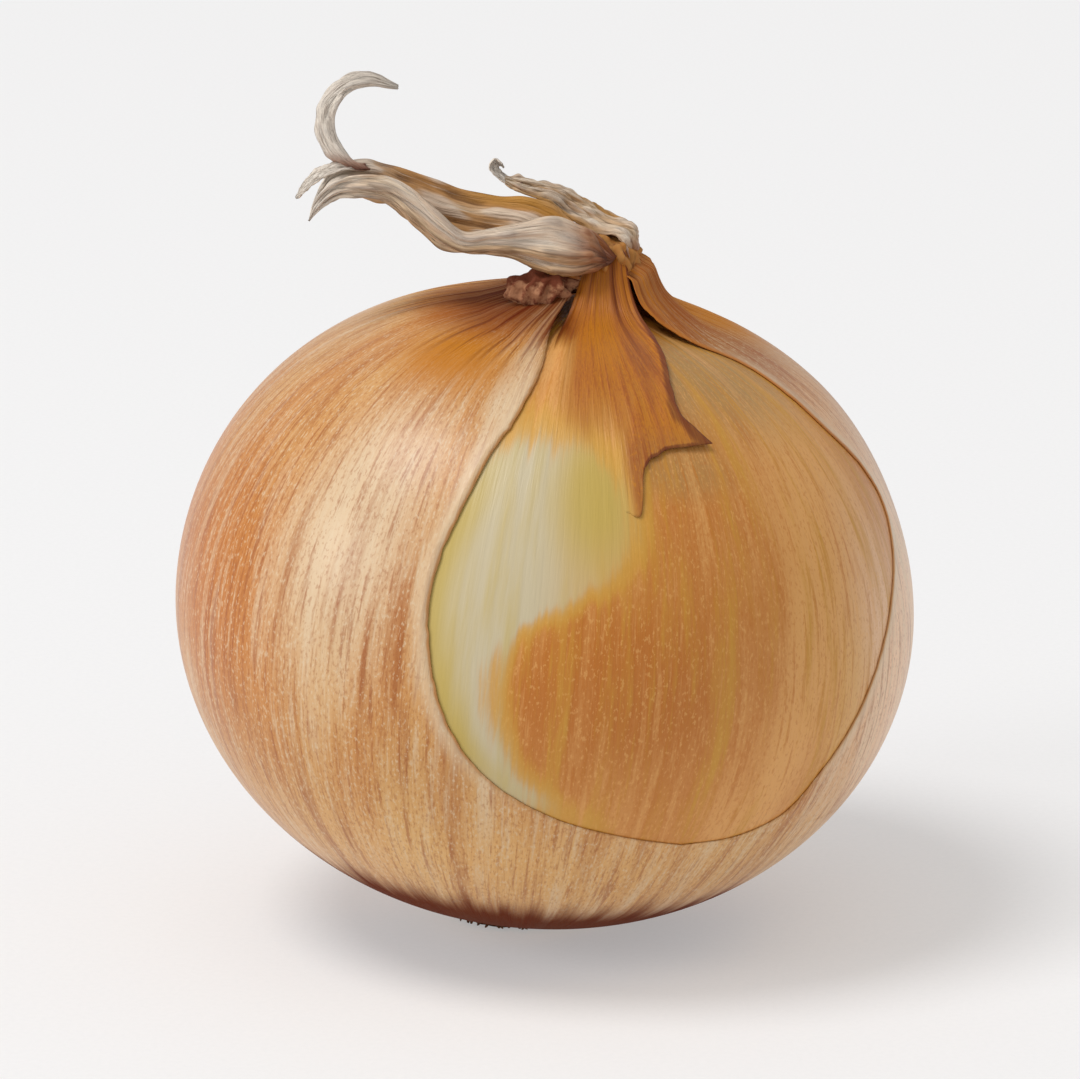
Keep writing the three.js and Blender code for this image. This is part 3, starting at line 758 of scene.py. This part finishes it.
BACK_BLADE = (
    ((11.7, -2, 72.6), (11.4, -2.2, 74.6), (10.6, -2.2, 76), (8, -1.1, 76.5), (5.4, 0, 77.4),
     (3.4, 0.1, 79), (0.5, 0.3, 80), (-1.3, 0.5, 81.1)),
    ((11.6, 2.8, 72.6), (12.4, 2, 75), (12.2, 1.2, 76.4), (9.6, 2.5, 77.4), (7, 2.4, 79),
     (4.2, 2, 80.3), (1.2, 1.6, 81.1), (-1.3, 1.2, 81.7)),
    ((5.8, 3.4, 72.6), (6.2, 4, 74.4), (6.6, 4.4, 75.8), (5.9, 4.6, 77), (4.8, 4, 78.2),
     (2.9, 3.2, 79.5), (0.6, 2.4, 80.6), (-1.2, 1.7, 81.2)),
)
TIP_CURL = (
    ((0.5, 0.7, 80.6), (-1.6, 1, 81.3), (-2.9, 1.2, 82.6), (-2.4, 1.2, 83.6), (-1.4, 1.3, 83)),
    ((0.6, 1.1, 81), (-1.3, 1.4, 81.6), (-2.4, 1.5, 82.6), (-2.1, 1.6, 83.2), (-1.3, 1.6, 82.7)),
    ((0.6, 1.6, 81), (-1, 1.8, 81.7), (-1.9, 1.9, 82.5), (-1.8, 2, 82.8), (-1.2, 2, 82.4)),
)


def in_metres(guides):
    return [[Vector(point) * MM for point in line] for line in guides]


def blade_mesh(guides, columns, rows, wrinkle, folds, ragged, seed):
    """A folded blade through its guide lines, with lengthwise wrinkles."""

    def middle(u, v):
        s = 2 * u - 1
        front, fold, back = (spline(line, min(max(v, 0), 1)) for line in guides)
        return front * (s * (s - 1) / 2) + fold * (1 - s * s) + back * (s * (s + 1) / 2)

    step = 0.004
    bm, (crease_layer,), verts = grid(columns, rows, values=["crease"])
    places = {vert.index: (u, v) for vert, u, v in verts}
    for vert, u, v in verts:
        low, high = max(v - step, 0), min(v + step, 1)
        along = middle(u, high) - middle(u, low)
        across = middle(u + 0.02, v) - middle(u - 0.02, v)
        out = across.cross(along).normalized()
        drift = 0.35 * math.sin(5 * v + seed) + 0.2 * math.sin(13 * v + 2 * seed)
        wave = math.cos(2 * math.pi * (folds * u + drift))
        wave += 0.5 * math.cos(4.6 * math.pi * (folds * u - drift))
        crumples = 1.4 * noise.noise(Vector((u * 5, v * 9, seed)))
        wave += crumples + 0.9 * noise.noise(Vector((u * 13, v * 20, seed)))
        ease = smooth(v, 0, 0.06) * smooth(v, 1, 0.9)
        short = ragged * (0.5 + 0.5 * noise.noise(Vector((u * 9, seed, 3)))) * smooth(v, 0.85, 1)
        vert.co = middle(u, v) + out * (wave * wrinkle * ease)
        vert.co += (middle(u, v - 0.05) - middle(u, v)).normalized() * short
        vert[crease_layer] = -wave / 1.6
    uv_layer = bm.loops.layers.uv.new("Blade")
    for face in bm.faces:
        for loop in face.loops:
            loop[uv_layer].uv = places[loop.vert.index]
    return bm


class BladeFinish(Finish):
    """Dried leaf: fibres along the blade, browner inside the fold with painted shade there and in the
    creases, painted highlight on the ridges, bleached at the tip.
    """

    def __init__(self, name, fibres, bleach, inside, gold_lines):
        super().__init__(name, roughness=0.6, specular=0.35)
        leaf, skin = bpy.context.scene.onion_leaf, bpy.context.scene.onion_skin
        uv = self.node("ShaderNodeUVMap", {"uv_map": "Blade"}, {})
        across, along = self.split(uv)[:2]
        crease = self.attribute("crease")
        thin = self.grain(self.stretch(uv, fibres * 2.4, 5.0, 1.0), 1.0, 3.0, 0.65)
        broad = self.grain(self.stretch(uv, fibres * 0.5, 2.6, 1.0), 1.0, 3.0)
        base = self.paint(leaf.grey, leaf.brown, self.ramp(broad, 0.42, 0.62) * 0.7)
        # The inner face inside the fold is laid browner: painted shade over the leaf's own browner inner
        # face.
        inner_face = self.ramp(across, 0.44, 0.6) * self.ramp(along, 0.85, 0.6) * inside
        base = self.paint(base, leaf.brown, inner_face)
        base = self.paint(base, leaf.grey, self.ramp(broad, 0.48, 0.36) * 0.6)
        # Painted shade darkens the creases, and a painted highlight whitens the wrinkle ridges.
        base = self.paint(base, leaf.dark, self.ramp(crease, 0.3, 0.9) * 0.6)
        base = self.paint(base, leaf.white, self.ramp(crease, 0.0, -0.7) * 0.4)
        base = self.paint(base, leaf.white, self.ramp(along + thin * 0.3, bleach, bleach + 0.35) * 0.8)
        base = self.paint(base, leaf.dark, self.ramp(thin, 0.5, 0.66) * 0.5)
        base = self.paint(base, leaf.white, self.ramp(thin, 0.45, 0.3) * 0.35)
        # Painted highlight along the bright ridge near the front edge.
        ridge_highlight = self.near(across, 0.08, 0.14) * self.ramp(along, 0.75, 0.6) * self.ramp(along, 0.08, 0.2)
        base = self.paint(base, leaf.white, ridge_highlight * inside * 0.6)
        for centre, start, end in gold_lines:
            line = self.near(across, centre, 0.08) * self.near(along, (start + end) / 2, (end - start) / 2)
            base = self.paint(base, leaf.gold, line * 0.85)
        base = self.paint(base, skin.rust, self.ramp(along + thin * 0.2, 0.34, 0.16) * 0.7)
        self.set(Base_Color=self.paint(base, skin.wine, self.ramp(along, 0.08, 0.0) * 0.7))
        self.set(Normal=self.relief(thin, 0.4 * MM))


class ONION_OT_add_blades(bpy.types.Operator):
    """Add the dried leaf blades and wisps above the neck"""

    bl_idname = "onion.add_blades"
    bl_label = "Add Dried Blades"

    def execute(self, context):
        settings = context.scene.onion_leaf
        front = BladeFinish("Onion dried blade", 26, 0.75, 0.75, ((0.5, 0.0, 0.9), (1.0, 0.1, 0.5)))
        tip = BladeFinish("Onion bleached wisp", 7, -0.1, 0.0, ())
        back = BladeFinish("Onion back blade", 22, 1.1, 0.4, ((0.5, 0.1, 0.9), (0.0, 0.3, 1.0)))
        pieces = (
            ("onion_long_blade", LONG_BLADE, 60, 220, 1, 5.5, front, "torn_skin"),
            ("onion_short_wisp", SHORT_WISP, 16, 60, 0.5, 1.5, tip, "torn_skin"),
            ("onion_curled_wisp", CURLED_WISP, 16, 110, 0.5, 1.5, tip, "torn_skin"),
            ("onion_back_blade", BACK_BLADE, 48, 110, 1, 4.5, back, "outer_skin"),
            ("onion_tip_curl", TIP_CURL, 12, 60, 0.2, 1.0, tip, "outer_skin"),
        )
        for seed, (name, guides, columns, rows, share, folds, finish, node) in enumerate(pieces):
            wrinkle = settings.wrinkle * share
            bm = blade_mesh(in_metres(guides), columns, rows, wrinkle, folds, 0.3 * MM, seed)
            add_piece(name, bm, finish, node, settings.thickness)
        return {"FINISHED"}


def crumple(bm, middle, half_sizes, furrows):
    """Turns a unit sphere into a shrivelled lump with upright furrows."""
    for vert in bm.verts:
        turn, lift = math.atan2(vert.co.x, -vert.co.y), vert.co.z
        furrow = math.cos(furrows * turn + 3 * lift) + 0.7 * math.cos(1.8 * furrows * turn - 4 * lift)
        lump = 1 + 0.13 * furrow * (1 - lift * lift) + 0.3 * noise.noise(vert.co * 2.1)
        vert.co = middle + vert.co * Vector(half_sizes) * lump * MM


class ONION_OT_add_neck_stub(bpy.types.Operator):
    """Add the dark shrivelled leaf base beside the neck, and the crumpled tissue that closes the neck"""

    bl_idname = "onion.add_neck_stub"
    bl_label = "Add Neck Stub"

    def execute(self, context):
        shape, settings, skin = BulbShape(), context.scene.onion_leaf, context.scene.onion_skin
        foot = shape.at(-43, 81.5, 0, SKIN_NECK)
        bm = bmesh.new()
        bmesh.ops.create_icosphere(bm, subdivisions=5, radius=1)
        crumple(bm, foot + Vector((0.7, 0, 1.9)) * MM, (3.3, 2.1, 2.1), 7)
        finish = Finish("Onion shrivelled base", roughness=0.85, specular=0.2)
        place = finish.object_place()
        bark = finish.grain(place, 900.0, 4.0)
        crest = finish.ramp(finish.split(place)[2], foot.z + 2.4 * MM, foot.z + 3.7 * MM)
        dark = finish.ramp(bark + crest * 0.3, 0.42, 0.62) * 0.85
        base = finish.paint(settings.stub, skin.wine, dark)
        finish.set(Base_Color=base, Normal=finish.relief(bark, 0.5 * MM))
        add_piece("onion_neck_stub", bm, finish, "neck_stub")

        bm = bmesh.new()
        bmesh.ops.create_icosphere(bm, subdivisions=5, radius=1)
        crumple(bm, Vector((9.5, -1.2, 73.2)) * MM, (3.2, 3.2, 2.5), 9)
        finish = Finish("Onion neck tissue", roughness=0.8, specular=0.25)
        fibre = finish.grain(finish.stretch(finish.object_place(), 900, 900, 150), 1.0, 3.0)
        base = finish.paint(settings.brown, skin.orange, finish.ramp(fibre, 0.42, 0.7) * 0.6)
        base = finish.paint(base, skin.wine, finish.ramp(fibre, 0.48, 0.3) * 0.7)
        finish.set(Base_Color=base, Normal=finish.relief(fibre, 0.4 * MM))
        add_piece("onion_neck_tissue", bm, finish, "torn_skin")
        return {"FINISHED"}


class ONION_OT_add_root_plate(bpy.types.Operator):
    """Add the corky root plate and its trimmed rootlets"""

    bl_idname = "onion.add_root_plate"
    bl_label = "Add Root Plate"

    def execute(self, context):
        shape, settings = BulbShape(), context.scene.onion_root
        radius = settings.radius
        bm = bmesh.new()
        bmesh.ops.create_cone(
            bm, cap_ends=True, segments=96, radius1=radius, radius2=radius - 1 * MM, depth=1.0 * MM
        )
        bmesh.ops.subdivide_edges(bm, edges=bm.edges, cuts=3, use_grid_fill=True)
        for vert in bm.verts:
            top = vert.co.z > 0
            vert.co.z = 0
            spread = vert.co.length / radius
            bark = 0.12 * MM * noise.noise(vert.co * 900)
            if top:
                vert.co = shape.stand(vert.co.x, vert.co.y, 1.85 * MM - shape.centre + bark)
            else:
                vert.co.z = max(0, 0.3 * MM * smooth(spread, 0.86, 1) + bark * smooth(spread, 0.8, 0.9))
        draw = random.Random(20)
        for i in range(settings.rootlets):
            add_rootlet(bm, radius, 360 * (i + 0.6 * draw.random()) / settings.rootlets, draw)
        bmesh.ops.remove_doubles(bm, verts=bm.verts, dist=1e-6)
        bmesh.ops.recalc_face_normals(bm, faces=bm.faces)
        finish = Finish("Onion cork", roughness=0.9, specular=0.2)
        place = finish.object_place()
        bark = finish.grain(place, 700.0, 5.0)
        finish.set(
            Base_Color=finish.paint(settings.cork, settings.hair, finish.ramp(bark, 0.35, 0.7)),
            Normal=finish.relief(bark, 0.3 * MM),
        )
        add_piece("onion_root_plate", bm, finish, "root_plate")
        return {"FINISHED"}


def add_rootlet(bm, plate_radius, azimuth, draw):
    """One dried rootlet: a thin tapering tube that leaves the plate's rim and bends to the floor."""
    turn = azimuth * DEG
    out = Vector((math.sin(turn), -math.cos(turn), 0))
    side = Vector((math.cos(turn), math.sin(turn), 0))
    at_back = smooth(-math.cos(turn), 0.1, 1)
    reach = mix(0.2, 0.9, draw.random()) * MM + 5.5 * MM * at_back * draw.random()
    sway = (draw.random() - 0.5) * 2 * MM
    thick = mix(0.2, 0.34, draw.random()) * MM
    rest = thick + 0.05 * MM
    inner = plate_radius - mix(0.8, 2, draw.random()) * MM
    path = [
        out * inner + Vector((0, 0, 1.1 * MM)),
        out * (plate_radius - 0.2 * MM) + Vector((0, 0, 0.95 * MM)),
        out * (plate_radius + reach * 0.5) + side * (sway * 0.4) + Vector((0, 0, 0.6 * MM)),
        out * (plate_radius + reach) + side * sway + Vector((0, 0, rest)),
    ]
    for vert in bmesh.ops.create_grid(bm, x_segments=7, y_segments=9, size=0.5)["verts"]:
        roll, t = 2 * math.pi * vert.co.x, vert.co.y + 0.5
        ahead = (spline(path, min(t + 0.02, 1)) - spline(path, max(t - 0.02, 0))).normalized()
        across = ahead.cross(Vector((0, 0, 1))).normalized()
        spoke = across * math.cos(roll) + across.cross(ahead) * math.sin(roll)
        closed = smooth(t, 0, 0.05) * smooth(t, 1, 0.95)
        vert.co = spline(path, t) + spoke * (thick * mix(1, 0.5, t) * closed)


class ONION_OT_add_stage(bpy.types.Operator):
    """Add the floor, the soft lights and the camera"""

    bl_idname = "onion.add_stage"
    bl_label = "Add Stage"

    def execute(self, context):
        scene, settings = context.scene, context.scene.onion_stage
        bm = bmesh.new()
        bmesh.ops.create_grid(bm, x_segments=1, y_segments=1, size=4)
        mesh = bpy.data.meshes.new("floor")
        bm.to_mesh(mesh)
        bm.free()
        finish = Finish("Pale floor", roughness=0.9, specular=0.1)
        tooth = finish.grain(finish.object_place(), 1500.0, 2.0)
        paper = finish.paint(settings.floor, (0.4, 0.4, 0.4), finish.ramp(tooth, 0.3, 0.8) * 0.12)
        finish.set(Base_Color=paper, Emission_Color=(1.0, 1.0, 1.0), Emission_Strength=settings.floor_glow)
        mesh.materials.append(finish.material)
        floor = bpy.data.objects.new("floor", mesh)
        scene.collection.objects.link(floor)

        world = bpy.data.worlds.new("Soft sky")
        world.use_nodes = True
        sky = world.node_tree.nodes["Background"].inputs
        sky["Color"].default_value = (1, 1, 1, 1)
        sky["Strength"].default_value = settings.sky
        scene.world = world
        scene.view_settings.view_transform = "Standard"

        middle = BulbShape().stand(0, 0, 0)
        sun = bpy.data.lights.new("high window", "SUN")
        sun.energy, sun.angle = settings.high_window, 24 * DEG
        aim_light(sun, middle + Vector((-0.29, -0.12, 0.63)), middle)
        box = bpy.data.lights.new("low window", "AREA")
        box.shape, box.size, box.energy = "DISK", 0.34, settings.low_window
        aim_light(box, middle + Vector((-0.75, -0.35, 0.357)), middle)

        elevation = settings.elevation
        back = Vector((0, -math.cos(elevation), math.sin(elevation)))
        up = Vector((0, math.sin(elevation), math.cos(elevation)))
        camera = bpy.data.cameras.new("camera")
        camera.lens = camera.sensor_width * settings.distance / settings.frame_width
        camera.clip_start, camera.clip_end = 0.01, 20
        eye = bpy.data.objects.new("camera", camera)
        scene.collection.objects.link(eye)
        pixel = settings.frame_width / PICTURE_WIDTH
        aim = middle + Vector((-5 * pixel, 0, 0)) + up * (64.5 * pixel)
        eye.location = aim + back * settings.distance
        eye.rotation_euler = Euler((math.pi / 2 - elevation, 0, 0))
        scene.camera = eye
        return {"FINISHED"}


def aim_light(data, place, target):
    light = bpy.data.objects.new(data.name, data)
    light.location = place
    light.rotation_euler = (target - place).to_track_quat("-Z", "Y").to_euler()
    bpy.context.scene.collection.objects.link(light)


SETTINGS = {
    "onion_bulb": OnionBulbSettings,
    "onion_skin": OnionSkinSettings,
    "onion_leaf": OnionLeafSettings,
    "onion_root": OnionRootSettings,
    "onion_stage": OnionStageSettings,
}
OPERATORS = (
    ONION_OT_add_bulb,
    ONION_OT_add_outer_skin,
    ONION_OT_add_torn_flap,
    ONION_OT_add_blades,
    ONION_OT_add_neck_stub,
    ONION_OT_add_root_plate,
    ONION_OT_add_stage,
)


class ONION_PT_pieces(bpy.types.Panel):
    """The onion's settings and pieces"""

    bl_idname = "ONION_PT_pieces"
    bl_label = "Onion"
    bl_space_type = "VIEW_3D"
    bl_region_type = "UI"
    bl_category = "Onion"

    def draw(self, context):
        for operator in OPERATORS:
            self.layout.operator(operator.bl_idname)
        for name, settings in SETTINGS.items():
            box = self.layout.box()
            for prop in settings.__annotations__:
                box.prop(getattr(context.scene, name), prop)


def register():
    for cls in (*SETTINGS.values(), *OPERATORS, ONION_PT_pieces):
        bpy.utils.register_class(cls)
    for name, settings in SETTINGS.items():
        setattr(bpy.types.Scene, name, PointerProperty(type=settings))


def unregister():
    for name in SETTINGS:
        delattr(bpy.types.Scene, name)
    for cls in reversed((*SETTINGS.values(), *OPERATORS, ONION_PT_pieces)):
        bpy.utils.unregister_class(cls)


def main():
    register()
    bpy.ops.onion.add_bulb()
    bpy.ops.onion.add_outer_skin()
    bpy.ops.onion.add_torn_flap()
    bpy.ops.onion.add_blades()
    bpy.ops.onion.add_neck_stub()
    bpy.ops.onion.add_root_plate()
    bpy.ops.onion.add_stage()


if __name__ == "__main__":
    main()
